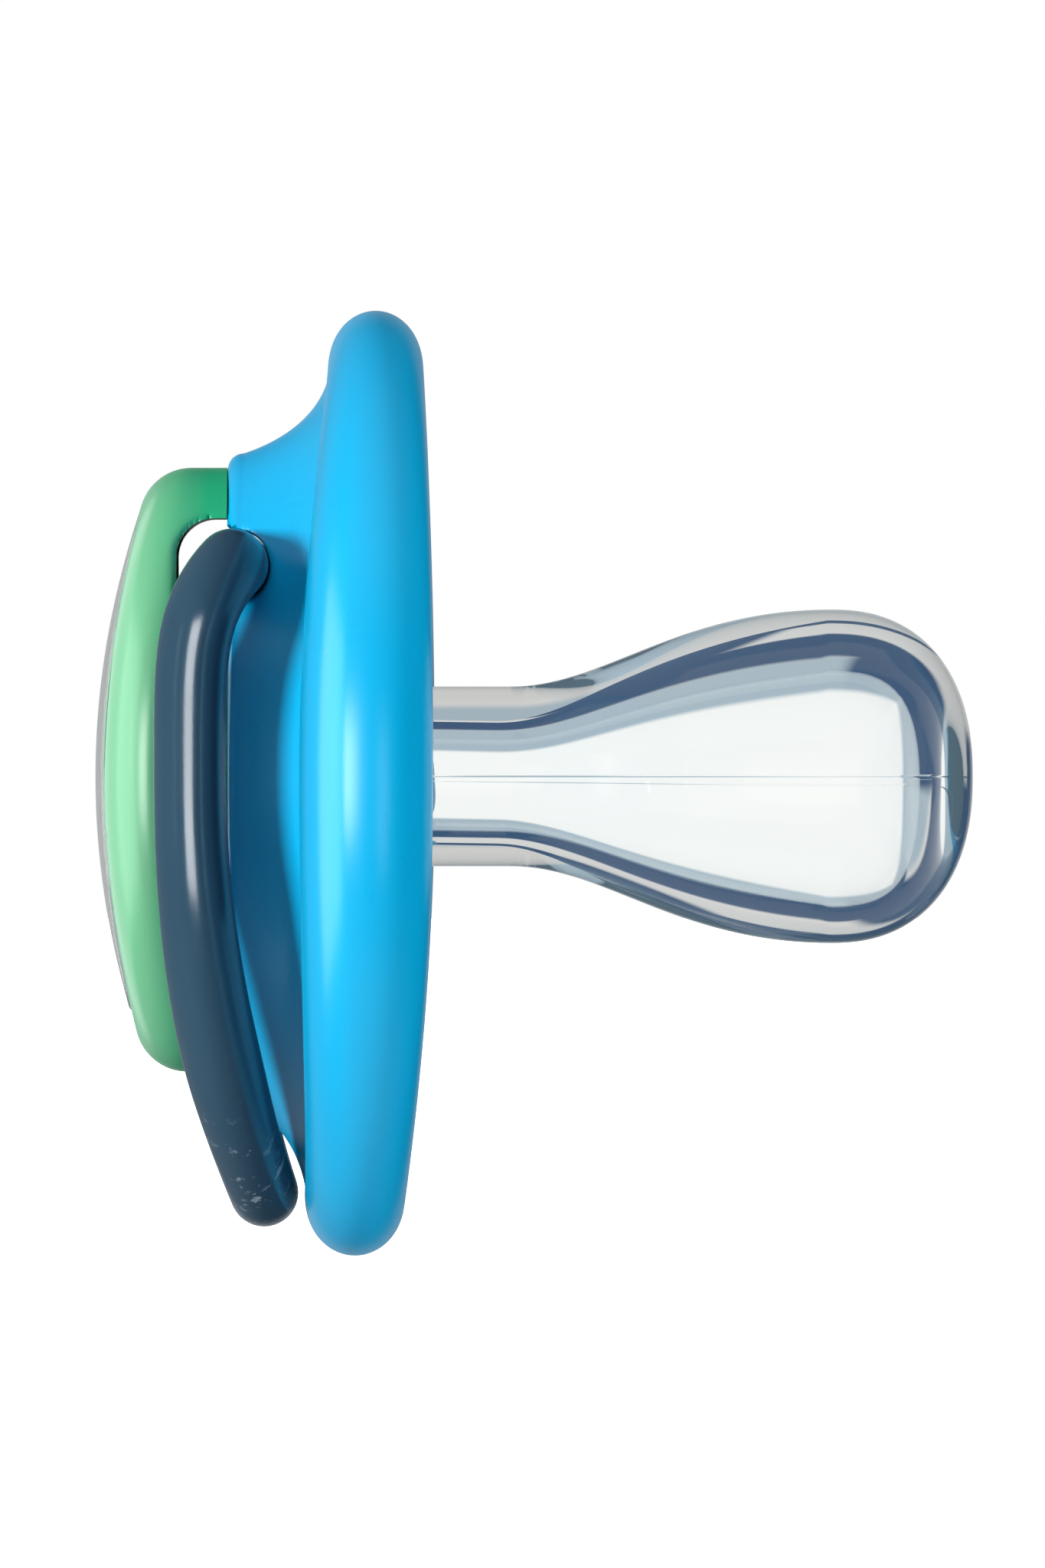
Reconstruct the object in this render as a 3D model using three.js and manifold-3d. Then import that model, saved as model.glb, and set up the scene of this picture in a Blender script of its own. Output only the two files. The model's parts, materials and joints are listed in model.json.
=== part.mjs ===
// A soother with a solid ring handle, a knob with a clear window, and a hollow cherry-shaped teat.
//
// Millimetres, +Z up. While the pieces are made, X runs along the teat's axis, towards its tip, X = 0 is
// the foremost edge of the shield, and Z = 0 is the teat's axis. At the end the whole object is shifted,
// so that its origin is the middle of the bottom of its bounding box.

import * as THREE from "three";
import { mergeVertices } from "three/addons/utils/BufferGeometryUtils.js";
import Module from "manifold-3d";

const wasm = await Module();
wasm.setup();

// ---------------------------------------------------------------- driving dimensions

const GAP = 0.3; // between pieces that touch or fit

const shield = {
  halfWidth: 26.5,
  heightAbove: 23.16,
  heightBelow: 23.84,
  roundness: 2.15, // exponent of the outline: 2 is an ellipse
  topBend: 380, // radius of the rim's front edge above the teat, seen from the side
  bottomBend: 150, // and below it
  rimAtSides: 6.6, // thickness of the rim
  rimAtTop: 4.75,
  rimAtBottom: 5.0,
  noseAtSides: 4.0, // how far in the rim's rounding reaches
  noseAtEnds: 3.1,
  noseFullness: 0.9, // 1 rounds the rim as a half ellipse, less makes it squarer
  recessDepth: 2.8, // of the hollow inside the rim, at the sides
  recessWidth: 3.6,
};
// The flank's curve from the hub's edge out to the hollow: shares of the run (x) and of the rise (y).
const flankShares = [
  { x: 0, y: 0.05 },
  { x: 0.15, y: 0.51 },
  { x: 0.46, y: 0.905 },
  { x: 1, y: 1 },
];
const hub = { halfWidth: 12.5, halfHeight: 16.07, faceX: -10.25, corner: 0.8 };
const land = { radius: 7.5, x: -1.4 }; // the flat ring around the teat's neck
const vent = { radius: 17.7, width: 4.6, halfAngle: 17 }; // kidney-shaped, one on each side

// The wall runs straight to neckEndX, then as a Bezier curve steered by leadIn and leadOut to the widest
// place of the bulb, and from there as a superellipse to the tip.
const teat = {
  neckRadius: 4.47,
  neckEndX: 3.8,
  leadInX: 8.5,
  leadOut: { x: 12.0, radius: 8.3 },
  bulbX: 19.77,
  bulbRadius: 8.3,
  tipX: 26.8,
  bluntness: 2.3,
};
const hollow = {
  neckRadius: 2.2,
  neckEndX: 3.0,
  leadInX: 7.5,
  leadOut: { x: 11.0, radius: 4.8 },
  bulbX: 19.6,
  bulbRadius: 5.9,
  tipX: 24.4,
  bluntness: 2.7,
};
const flangeThickness = 1.5;

const bore = { radius: teat.neckRadius + GAP, wall: 3.2 };
const socket = { radius: 7.2, floorX: land.x - bore.wall };
const plug = {
  discThickness: 1.5,
  spigotRadius: hollow.neckRadius - GAP,
  spigotRootDepth: 0.5, // how far the spigot's root reaches into the disc
  spigotEndX: land.x - 0.2,
};

const knob = {
  frontX: -16.84, // of the clear window that covers it
  centreZ: 0.33,
  halfWidth: 12.2,
  halfHeight: 15.02,
  roundness: 2.3,
  domeAcross: 130, // radius of the front's dome from side to side
  domeAlong: 39.5, // and from top to bottom
  edgeRadius: 2.6,
  wall: 2.5,
  pocketX: -13.2,
  collarRadius: 8.0,
};
const windowPane = {
  centreZ: 1.0,
  halfWidth: 9.9,
  halfHeight: 12.67,
  roundness: 2.3,
  thickness: 0.7,
  proud: 0.1, // of the knob's front
};
const print = { thickness: 0.3, inset: 0.4 };

const ring = {
  pivotX: -9.98,
  pivotZ: 10.47,
  barHalfLength: 12.0,
  cornerRadius: 3.2,
  armX: -12.05, // where the arms bow out furthest
  bottomX: -8.45,
  bottomZ: -20.7,
  archTopZ: -4.0, // where the arms start to curve towards each other
  upperBow: 4.7,
  lowerBow: 2.1,
  radius: 1.8,
  lowRadius: 1.95, // of the arms at lowZ, where they are thickest
  lowZ: -13.5,
  bottomRadius: 1.7,
};
const saddleRadius = ring.radius + GAP;
const tunnel = { frontX: -12.76, topZ: 12.8, bottomZ: 8.3, corner: 1.9 };

const FULL_TURN = 2 * Math.PI;
const CLEAR = 1; // how far a cutter reaches past what it cuts
const MIN_STEP = 0.08; // keeps the hollow inside the rim from closing to nothing at the top and bottom
const sides = { shield: 64, teat: 36, knob: 56, window: 40, ring: 12, ringPoints: 72 };

// ---------------------------------------------------------------- shape helpers

// Points on a cubic Bezier curve with the given four control points, one for each value in `shares`.
function bezierPoints(controls, shares) {
  const curve = new THREE.CubicBezierCurve(...controls);
  return shares.map((t) => curve.getPoint(t));
}

// Even steps from 0 to 1, both ends included.
function steps(count) {
  return Array.from({ length: count + 1 }, (_, i) => i / count);
}

// How far a superellipse reaches in direction `angle`, measured from +Y towards +Z.
function superellipseReach(angle, halfWidth, halfHeight, exponent) {
  const across = Math.abs(Math.cos(angle) / halfWidth) ** exponent;
  const up = Math.abs(Math.sin(angle) / halfHeight) ** exponent;
  return (across + up) ** (-1 / exponent);
}

// A closed body swept once round the X axis. `profileOf(angle)` gives its outline in the half plane at
// that angle as points (distance from the axis, X). The outline starts and ends on the axis, or it closes
// on itself when `isLoop` is true.
function sweepRoundX(profileOf, angleCount, isLoop) {
  const vertices = [];
  for (let i = 0; i < angleCount; i += 1) {
    const angle = (FULL_TURN * i) / angleCount;
    for (const p of profileOf(angle)) {
      vertices.push(p.y, p.x * Math.cos(angle), p.x * Math.sin(angle));
    }
  }
  const rowLength = vertices.length / 3 / angleCount;
  const bandCount = isLoop ? rowLength : rowLength - 1;
  const indices = [];
  for (let i = 0; i < angleCount; i += 1) {
    const here = i * rowLength;
    const next = ((i + 1) % angleCount) * rowLength;
    for (let j = 0; j < bandCount; j += 1) {
      const k = (j + 1) % rowLength;
      indices.push(here + j, here + k, next + j);
      indices.push(next + j, here + k, next + k);
    }
  }
  const geometry = new THREE.BufferGeometry();
  geometry.setAttribute("position", new THREE.Float32BufferAttribute(vertices, 3));
  geometry.setIndex(indices);
  return geometry;
}

// A round bar whose centre line is the closed list of points `line`; `radiusAt(point)` is its radius there.
function sweepClosedBar(line, radiusAt, sideCount) {
  const vertices = [];
  const indices = [];
  const across = new THREE.Vector3(1, 0, 0);
  line.forEach((point, i) => {
    const before = line[(i + line.length - 1) % line.length];
    const after = line[(i + 1) % line.length];
    const along = after.clone().sub(before).normalize();
    const u = along.clone().cross(across).normalize();
    const v = along.clone().cross(u);
    for (let j = 0; j < sideCount; j += 1) {
      const angle = (FULL_TURN * j) / sideCount;
      const offset = u.clone().multiplyScalar(Math.cos(angle)).addScaledVector(v, Math.sin(angle));
      vertices.push(...point.clone().addScaledVector(offset, radiusAt(point)).toArray());
      const here = i * sideCount;
      const next = ((i + 1) % line.length) * sideCount;
      const k = (j + 1) % sideCount;
      indices.push(here + j, here + k, next + j);
      indices.push(here + k, next + k, next + j);
    }
  });
  const geometry = new THREE.BufferGeometry();
  geometry.setAttribute("position", new THREE.Float32BufferAttribute(vertices, 3));
  geometry.setIndex(indices);
  return geometry;
}

// A cylinder along X from x0 to x1, centred on the teat's axis.
function cylinderAlongX(radius, x0, x1, sideCount = 48) {
  const geometry = new THREE.CylinderGeometry(radius, radius, x1 - x0, sideCount);
  geometry.rotateZ(-Math.PI / 2);
  geometry.translate((x0 + x1) / 2, 0, 0);
  return geometry;
}

// A cylinder along Y, centred on Y = 0, whose axis passes through (x, z).
function cylinderAlongY(radius, length, x, z, sideCount = 32) {
  const geometry = new THREE.CylinderGeometry(radius, radius, length, sideCount);
  geometry.translate(x, 0, z);
  return geometry;
}

// ---------------------------------------------------------------- booleans

function toSolid(geometry) {
  const bare = geometry.clone();
  bare.deleteAttribute("normal");
  bare.deleteAttribute("uv");
  const merged = mergeVertices(bare, 1e-5);
  const corners = merged.index.array;
  const kept = [];
  for (let i = 0; i < corners.length; i += 3) {
    const [a, b, c] = corners.slice(i, i + 3);
    if (a !== b && b !== c && c !== a) {
      kept.push(a, b, c);
    }
  }
  return new wasm.Manifold(
    new wasm.Mesh({
      numProp: 3,
      vertProperties: new Float32Array(merged.attributes.position.array),
      triVerts: new Uint32Array(kept),
    }),
  );
}

function toGeometry(solid) {
  const mesh = solid.getMesh();
  const geometry = new THREE.BufferGeometry();
  geometry.setAttribute("position", new THREE.BufferAttribute(mesh.vertProperties, 3));
  geometry.setIndex(new THREE.BufferAttribute(mesh.triVerts, 1));
  geometry.computeVertexNormals();
  return geometry;
}

// ---------------------------------------------------------------- shield

function shieldReach(angle) {
  const halfHeight = Math.sin(angle) > 0 ? shield.heightAbove : shield.heightBelow;
  return superellipseReach(angle, shield.halfWidth, halfHeight, shield.roundness);
}

// The measures of the rim in one half plane.
function rimAt(angle) {
  const sideShare = Math.cos(angle) ** 2;
  const nose = THREE.MathUtils.lerp(shield.noseAtEnds, shield.noseAtSides, sideShare);
  const rimAtEnd = Math.sin(angle) > 0 ? shield.rimAtTop : shield.rimAtBottom;
  const thickness = THREE.MathUtils.lerp(rimAtEnd, shield.rimAtSides, sideShare ** 1.5);
  const foot = shieldReach(angle) - nose;
  const z = foot * Math.sin(angle);
  const frontX = (-z * z) / (2 * (z > 0 ? shield.topBend : shield.bottomBend));
  return { sideShare, nose, thickness, foot, frontX, backX: frontX - thickness };
}

// The shield's outline in one half plane: land, dished lip side, rounded rim, hollow, flank, hub, bore.
function shieldProfile(angle) {
  const { sideShare, nose, thickness, foot, frontX, backX } = rimAt(angle);
  const points = [new THREE.Vector2(bore.radius, land.x), new THREE.Vector2(land.radius, land.x)];

  for (const t of steps(6).slice(1)) {
    const x = THREE.MathUtils.lerp(land.x, frontX, THREE.MathUtils.smoothstep(t, 0, 1));
    points.push(new THREE.Vector2(THREE.MathUtils.lerp(land.radius, foot, t), x));
  }

  const middleX = (frontX + backX) / 2;
  for (const t of steps(10).slice(1, -1)) {
    const turn = Math.PI * t;
    points.push(
      new THREE.Vector2(
        foot + nose * Math.sin(turn) ** shield.noseFullness,
        middleX + (thickness / 2) * Math.cos(turn),
      ),
    );
  }
  points.push(new THREE.Vector2(foot, backX));

  const hubReach = superellipseReach(angle, hub.halfWidth, hub.halfHeight, 2);
  const floorReach = foot - MIN_STEP - shield.recessWidth * sideShare;
  const floorX = backX + MIN_STEP + shield.recessDepth * sideShare;
  points.push(new THREE.Vector2((foot + floorReach) / 2, (backX + floorX) / 2));
  const run = floorReach - hubReach;
  const rise = floorX - hub.faceX;
  const flank = flankShares.map(
    (share) => new THREE.Vector2(hubReach + share.x * run, hub.faceX + share.y * rise),
  );
  points.push(...bezierPoints(flank, steps(7).reverse()));
  points.push(new THREE.Vector2(hubReach - hub.corner, hub.faceX));
  points.push(new THREE.Vector2(bore.radius, hub.faceX));
  return points;
}

// One kidney-shaped air hole, long enough to cut right through; `side` is 1 or -1.
function ventCutter(side) {
  const inner = vent.radius - vent.width / 2;
  const outer = vent.radius + vent.width / 2;
  const half = THREE.MathUtils.degToRad(vent.halfAngle);
  const end = new THREE.Vector2(vent.radius * Math.cos(half), vent.radius * Math.sin(half));
  const shape = new THREE.Shape();
  shape.absarc(0, 0, outer, -half, half, false);
  shape.absarc(end.x, end.y, vent.width / 2, half, half + Math.PI, false);
  shape.absarc(0, 0, inner, half, -half, true);
  shape.absarc(end.x, -end.y, vent.width / 2, Math.PI - half, FULL_TURN - half, false);
  const depth = CLEAR - hub.faceX + CLEAR;
  const geometry = new THREE.ExtrudeGeometry(shape, { depth, bevelEnabled: false, curveSegments: 10 });
  // the shape's own x becomes Y (mirrored for the other side), its y becomes Z, its depth becomes X
  geometry.rotateY(Math.PI / 2);
  geometry.rotateX(side > 0 ? Math.PI / 2 : -Math.PI / 2);
  geometry.translate(CLEAR - depth, 0, 0);
  return geometry;
}

function makeShield() {
  let solid = toSolid(sweepRoundX(shieldProfile, sides.shield, true));
  solid = solid.subtract(toSolid(cylinderAlongX(socket.radius, hub.faceX - CLEAR, socket.floorX)));
  solid = solid.subtract(
    toSolid(cylinderAlongY(saddleRadius, 2 * shield.halfWidth, ring.pivotX, ring.pivotZ)),
  );
  for (const side of [1, -1]) {
    solid = solid.subtract(toSolid(ventCutter(side)));
  }
  return toGeometry(solid);
}

// ---------------------------------------------------------------- teat and its plug

// The wall of the teat from the end of its neck to its tip, as points (distance from the axis, X).
function bulbOutline(form, neckSteps, bulbSteps) {
  const { neckRadius, neckEndX, leadInX, leadOut, bulbX, bulbRadius, tipX, bluntness } = form;
  const controls = [
    new THREE.Vector2(neckRadius, neckEndX),
    new THREE.Vector2(neckRadius, leadInX),
    new THREE.Vector2(leadOut.radius, leadOut.x),
    new THREE.Vector2(bulbRadius, bulbX),
  ];
  const points = bezierPoints(controls, steps(neckSteps));
  for (const t of steps(bulbSteps).slice(1)) {
    const turn = (Math.PI / 2) * t;
    const radius = t === 1 ? 0 : bulbRadius * Math.cos(turn) ** (2 / bluntness);
    points.push(new THREE.Vector2(radius, bulbX + (tipX - bulbX) * Math.sin(turn) ** (2 / bluntness)));
  }
  return points;
}

function makeTeat() {
  const flangeFrontX = socket.floorX - GAP;
  const flangeBackX = flangeFrontX - flangeThickness;
  const flangeRadius = socket.radius - GAP;
  const profile = [
    ...bulbOutline(teat, 12, 10).reverse(),
    new THREE.Vector2(teat.neckRadius, flangeFrontX),
    new THREE.Vector2(flangeRadius, flangeFrontX),
    new THREE.Vector2(flangeRadius, flangeBackX),
    new THREE.Vector2(hollow.neckRadius, flangeBackX),
    ...bulbOutline(hollow, 10, 8),
  ];
  return toGeometry(toSolid(sweepRoundX(() => profile, sides.teat, false)));
}

const plugFrontX = socket.floorX - GAP - flangeThickness - GAP;
const plugBackX = plugFrontX - plug.discThickness;

function makePlug() {
  const rootX = plugFrontX - plug.spigotRootDepth;
  const disc = toSolid(cylinderAlongX(socket.radius - GAP, plugBackX, plugFrontX));
  const spigot = toSolid(cylinderAlongX(plug.spigotRadius, rootX, plug.spigotEndX, 24));
  return toGeometry(disc.add(spigot));
}

// ---------------------------------------------------------------- knob, print and window

// X of the window's domed outer face.
function domeX(y, z) {
  return knob.frontX + (y * y) / (2 * knob.domeAcross) + (z * z) / (2 * knob.domeAlong);
}

// A slab that follows the knob's dome, from `front` to `back` behind the window's outer face.
function domedSlab(form, front, back) {
  const profileOf = (angle) => {
    const reach = superellipseReach(angle, form.halfWidth, form.halfHeight, form.roundness);
    const faceX = (distance) =>
      domeX(distance * Math.cos(angle), distance * Math.sin(angle) + form.centreZ);
    const out = steps(5).map((t) => new THREE.Vector2(reach * t, faceX(reach * t) + back));
    const home = steps(5).map((t) => new THREE.Vector2(reach * (1 - t), faceX(reach * (1 - t)) + front));
    return [...out, ...home];
  };
  const geometry = sweepRoundX(profileOf, sides.window, false);
  geometry.translate(0, 0, form.centreZ);
  return geometry;
}

// The knob's outline seen from the front, drawn in by `inset`.
function knobReach(angle, inset) {
  return superellipseReach(angle, knob.halfWidth - inset, knob.halfHeight - inset, knob.roundness);
}

// The knob's cap before anything is cut: a domed front, a rounded edge and straight sides.
function knobBlank(backX) {
  const profileOf = (angle) => {
    const faceX = (distance) =>
      domeX(distance * Math.cos(angle), distance * Math.sin(angle) + knob.centreZ) + windowPane.proud;
    const reach = knobReach(angle, 0);
    const flat = reach - knob.edgeRadius;
    const sideX = faceX(flat) + knob.edgeRadius;
    const points = [new THREE.Vector2(0, backX), new THREE.Vector2(reach, backX)];
    for (const t of steps(5)) {
      const turn = (Math.PI / 2) * t;
      points.push(
        new THREE.Vector2(
          flat + knob.edgeRadius * Math.cos(turn),
          sideX - knob.edgeRadius * Math.sin(turn),
        ),
      );
    }
    for (const t of steps(5).slice(1)) {
      points.push(new THREE.Vector2(flat * (1 - t), faceX(flat * (1 - t))));
    }
    return points;
  };
  const geometry = sweepRoundX(profileOf, sides.knob, false);
  geometry.translate(0, 0, knob.centreZ);
  return toSolid(geometry);
}

// The hollow in the knob's back, between its side walls and the collar round its stem.
function knobPocket(backX) {
  const profileOf = (angle) => {
    const reach = knobReach(angle, knob.wall);
    return [
      new THREE.Vector2(knob.collarRadius, backX + CLEAR),
      new THREE.Vector2(reach, backX + CLEAR),
      new THREE.Vector2(reach, knob.pocketX),
      new THREE.Vector2(knob.collarRadius, knob.pocketX),
    ];
  };
  const geometry = sweepRoundX(profileOf, sides.knob, true);
  geometry.translate(0, 0, knob.centreZ);
  return toSolid(geometry);
}

// The tunnel for the ring's bar: open to the back and to both sides, its upper front corner well rounded.
function tunnelCutter() {
  const backX = hub.faceX + CLEAR;
  const shape = new THREE.Shape();
  shape.moveTo(backX, tunnel.bottomZ);
  shape.lineTo(backX, tunnel.topZ);
  shape.absarc(
    tunnel.frontX + tunnel.corner, tunnel.topZ - tunnel.corner, tunnel.corner, Math.PI / 2, Math.PI, false,
  );
  shape.lineTo(tunnel.frontX, tunnel.bottomZ);
  const depth = 2 * (knob.halfWidth + CLEAR);
  const geometry = new THREE.ExtrudeGeometry(shape, { depth, bevelEnabled: false, curveSegments: 8 });
  geometry.rotateX(Math.PI / 2);
  geometry.translate(0, depth / 2, 0);
  return geometry;
}

// The front of the knob is cut out to hold the print and the window.
function windowSeatCutter() {
  const form = { ...windowPane };
  form.halfWidth += GAP;
  form.halfHeight += GAP;
  const depth = windowPane.thickness + print.thickness + 2 * GAP;
  return toSolid(domedSlab(form, -CLEAR, depth));
}

function makeKnob() {
  const backX = hub.faceX - GAP;
  const solid = knobBlank(backX)
    .subtract(knobPocket(backX))
    .subtract(toSolid(tunnelCutter()))
    .subtract(windowSeatCutter())
    .add(toSolid(cylinderAlongX(socket.radius - GAP, knob.pocketX, plugBackX - GAP)));
  return toGeometry(solid);
}

function makePrint() {
  const form = { ...windowPane };
  form.halfWidth -= print.inset;
  form.halfHeight -= print.inset;
  const front = windowPane.thickness + GAP;
  return toGeometry(toSolid(domedSlab(form, front, front + print.thickness)));
}

function makeWindow() {
  return toGeometry(toSolid(domedSlab(windowPane, 0, windowPane.thickness)));
}

// ---------------------------------------------------------------- ring handle

// X of the ring's centre line at height z: bowed outwards, and back to the pivot and to the shield.
function ringX(z) {
  const below = (ring.bottomX - ring.armX) * Math.abs(z / ring.bottomZ) ** ring.lowerBow;
  const above = (ring.pivotX - ring.armX) * Math.abs(z / ring.pivotZ) ** ring.upperBow;
  return ring.armX + (z < 0 ? below : above);
}

// The ring seen from the front: a straight pivot bar, tight corners, straight arms and a round bottom.
function ringLine() {
  const armY = ring.barHalfLength + ring.cornerRadius;
  const cornerZ = ring.pivotZ - ring.cornerRadius;
  const outline = new THREE.Path();
  outline.moveTo(0, ring.pivotZ);
  outline.lineTo(ring.barHalfLength, ring.pivotZ);
  outline.absarc(ring.barHalfLength, cornerZ, ring.cornerRadius, Math.PI / 2, 0, true);
  outline.lineTo(armY, ring.archTopZ);
  outline.absellipse(0, ring.archTopZ, armY, ring.archTopZ - ring.bottomZ, 0, -Math.PI, true);
  outline.lineTo(-armY, cornerZ);
  outline.absarc(-ring.barHalfLength, cornerZ, ring.cornerRadius, Math.PI, Math.PI / 2, true);
  outline.lineTo(0, ring.pivotZ);
  const points = outline.getSpacedPoints(sides.ringPoints).slice(0, -1);
  return points.map((p) => new THREE.Vector3(ringX(p.y), p.x, p.y));
}

function makeRing() {
  const radiusAt = ({ z }) => {
    const low = THREE.MathUtils.smoothstep(-z, 0, -ring.lowZ);
    const end = THREE.MathUtils.smoothstep(-z, -ring.lowZ, -ring.bottomZ);
    const arm = THREE.MathUtils.lerp(ring.radius, ring.lowRadius, low);
    return THREE.MathUtils.lerp(arm, ring.bottomRadius, end);
  };
  return toGeometry(toSolid(sweepClosedBar(ringLine(), radiusAt, sides.ring)));
}

// ---------------------------------------------------------------- assembly

function plastic(color, roughness) {
  return new THREE.MeshStandardMaterial({ color, roughness, metalness: 0 });
}

function clear(color, roughness, opacity) {
  return new THREE.MeshStandardMaterial({ color, roughness, metalness: 0, transparent: true, opacity });
}

function named(name, geometry, material) {
  const mesh = new THREE.Mesh(geometry, material);
  mesh.name = name;
  return mesh;
}

const soother = new THREE.Group();
soother.add(
  named("shield", makeShield(), plastic(0x2fb4ea, 0.3)),
  named("teat", makeTeat(), clear(0xf2f5f2, 0.08, 0.35)),
  named("teat_plug", makePlug(), plastic(0xf0f0ee, 0.4)),
  named("knob", makeKnob(), plastic(0x7fd69a, 0.3)),
  named("print_disc", makePrint(), plastic(0xf4f1e6, 0.6)),
  named("knob_window", makeWindow(), clear(0xf6f8f8, 0.06, 0.25)),
  named("ring_handle", makeRing(), plastic(0x2d4759, 0.35)),
);
soother.position.set(-(knob.frontX + teat.tipX) / 2, 0, shield.heightBelow);

export default soother;
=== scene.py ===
"""The looks of a soother: a clear silicone teat, a sky-blue shield, a mint knob with a clear window and a
navy ring handle. Lengths are in millimetres until a mesh is made. X is measured from the shield's foremost
edge and Z from the teat's axis, and `make_mesh` moves both to the frame's own origin."""

import json
import math

import bmesh
import bpy
import numpy as np
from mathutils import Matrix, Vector


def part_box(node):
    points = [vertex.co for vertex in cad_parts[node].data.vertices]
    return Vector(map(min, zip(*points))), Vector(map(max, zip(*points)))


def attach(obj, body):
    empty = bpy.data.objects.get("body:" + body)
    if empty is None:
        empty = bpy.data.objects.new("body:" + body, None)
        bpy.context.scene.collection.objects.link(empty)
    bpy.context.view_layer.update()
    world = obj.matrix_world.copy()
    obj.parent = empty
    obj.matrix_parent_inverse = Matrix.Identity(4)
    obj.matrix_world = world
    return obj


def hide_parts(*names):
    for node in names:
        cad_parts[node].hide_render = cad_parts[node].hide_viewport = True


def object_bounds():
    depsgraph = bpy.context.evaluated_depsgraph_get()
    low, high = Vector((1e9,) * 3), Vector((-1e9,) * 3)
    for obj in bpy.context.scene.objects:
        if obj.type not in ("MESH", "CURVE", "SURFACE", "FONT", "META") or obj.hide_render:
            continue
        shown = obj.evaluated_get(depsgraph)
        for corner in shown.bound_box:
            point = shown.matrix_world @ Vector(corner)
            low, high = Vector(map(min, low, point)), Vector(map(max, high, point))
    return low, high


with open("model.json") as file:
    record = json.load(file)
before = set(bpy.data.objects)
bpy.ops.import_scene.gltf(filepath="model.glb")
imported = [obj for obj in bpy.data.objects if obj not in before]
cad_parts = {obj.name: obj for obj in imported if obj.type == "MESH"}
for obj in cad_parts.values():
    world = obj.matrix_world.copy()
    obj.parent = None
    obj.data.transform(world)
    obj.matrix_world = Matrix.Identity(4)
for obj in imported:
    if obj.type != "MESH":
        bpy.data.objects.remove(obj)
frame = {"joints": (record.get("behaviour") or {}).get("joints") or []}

MM = 0.001
CAD_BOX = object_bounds()
TEAT_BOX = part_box("teat")
SHIELD_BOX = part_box("shield")
KNOB_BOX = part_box("knob")
RING_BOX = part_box("ring_handle")
HINGE = frame["joints"][0]

TIP_X = 26.8  # the teat's tip, ahead of the shield's foremost edge
ORIGIN_X = TEAT_BOX[1].x / MM - TIP_X
ORIGIN_Z = (TEAT_BOX[0].z + TEAT_BOX[1].z) / 2 / MM


# ---------------------------------------------------------------- dimensions

SHIELD_HALF_WIDTH = SHIELD_BOX[1].y / MM
SHIELD_ABOVE = SHIELD_BOX[1].z / MM - ORIGIN_Z
SHIELD_BELOW = ORIGIN_Z - SHIELD_BOX[0].z / MM
SHIELD_ROUNDNESS = 2.15
RIM_TOP_BEND = 380.0
RIM_BOTTOM_BEND = 150.0
RIM_AT_SIDES = 6.6
RIM_AT_TOP = 4.75
RIM_AT_BOTTOM = 5.0
NOSE_AT_SIDES = 4.0
NOSE_AT_ENDS = 3.1
NOSE_FULLNESS = 0.9
NOSE_LEAN = -0.25  # how far behind the rim's middle it is widest, at the sides, as a share of half of it
RECESS_DEPTH = 2.8
RECESS_WIDTH = 3.6
LAND_RADIUS = 7.5
LAND_X = -1.4

HUB_HALF_WIDTH = 12.5
HUB_HALF_HEIGHT = 16.07
HUB_FACE_X = SHIELD_BOX[0].x / MM - ORIGIN_X
HUB_CORNER_AT_SIDES = 0.28
HUB_CORNER_AT_ENDS = 0.8
FLANK_NEAR_HUB = (0.15, 0.51)  # shares of the flank's run and rise, for its curve's two middle points
FLANK_NEAR_RIM = (0.46, 0.905)

TEAT_NECK_RADIUS = 4.47
TEAT_NECK_END_X = 3.8
TEAT_LEAD_IN_X = 8.5
TEAT_LEAD_OUT = (12.0, 8.3)  # X and distance from the axis, like the next one
TEAT_BULB = (19.77, 8.3)
TEAT_BLUNTNESS = 2.3
HOLLOW_NECK_RADIUS = 2.2
HOLLOW_NECK_END_X = 3.0
HOLLOW_LEAD_IN_X = 7.5
HOLLOW_LEAD_OUT = (11.0, 4.8)
HOLLOW_BULB = (19.6, 5.9)
HOLLOW_TIP_X = 24.4
HOLLOW_BLUNTNESS = 2.7
HOLLOW_SAG = (0.22, 0.45)  # how low the hollow sits at the shield and in the bulb
SEAM_HEIGHT = 0.05
SEAM_HALF_ANGLE = 0.006
FLANGE_THICKNESS = 1.6

BORE_RADIUS = 4.62
SOCKET_RADIUS = 7.2
SOCKET_FLOOR_X = LAND_X - 3.2
PLUG_RADIUS = 6.9
PLUG_THICKNESS = 1.5
SPIGOT_RADIUS = 1.9

VENT_RADIUS = 17.7
VENT_WIDTH = 4.6
VENT_HALF_ANGLE = math.radians(17)
VENT_LIP = 0.5
SMALL_EDGE = 0.25  # the small rounding at the bore

PIVOT_X = HINGE["pos_m"][0] / MM - ORIGIN_X
PIVOT_Z = HINGE["pos_m"][2] / MM - ORIGIN_Z
RING_RADIUS = 1.8
RING_LOW_RADIUS = 1.95
RING_LOW_Z = -13.5
RING_BOTTOM_RADIUS = 1.7
RING_ARM_X = -12.05
RING_BOTTOM_X = -8.45
RING_BOTTOM_Z = -20.7
RING_BAR_HALF = 12.0
RING_CORNER = 3.2
RING_ARCH_TOP_Z = -4.0
RING_UPPER_BOW = 4.7  # powers: how suddenly the arms bend away from RING_ARM_X
RING_LOWER_BOW = 2.1
SADDLE_RADIUS = 1.84
SADDLE_MOUTH = 0.35  # how much wider the saddle is where the ring's bar leaves it
SADDLE_MOUTH_Y = 9.5
SADDLE_MOUTH_LENGTH = 3.0

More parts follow.
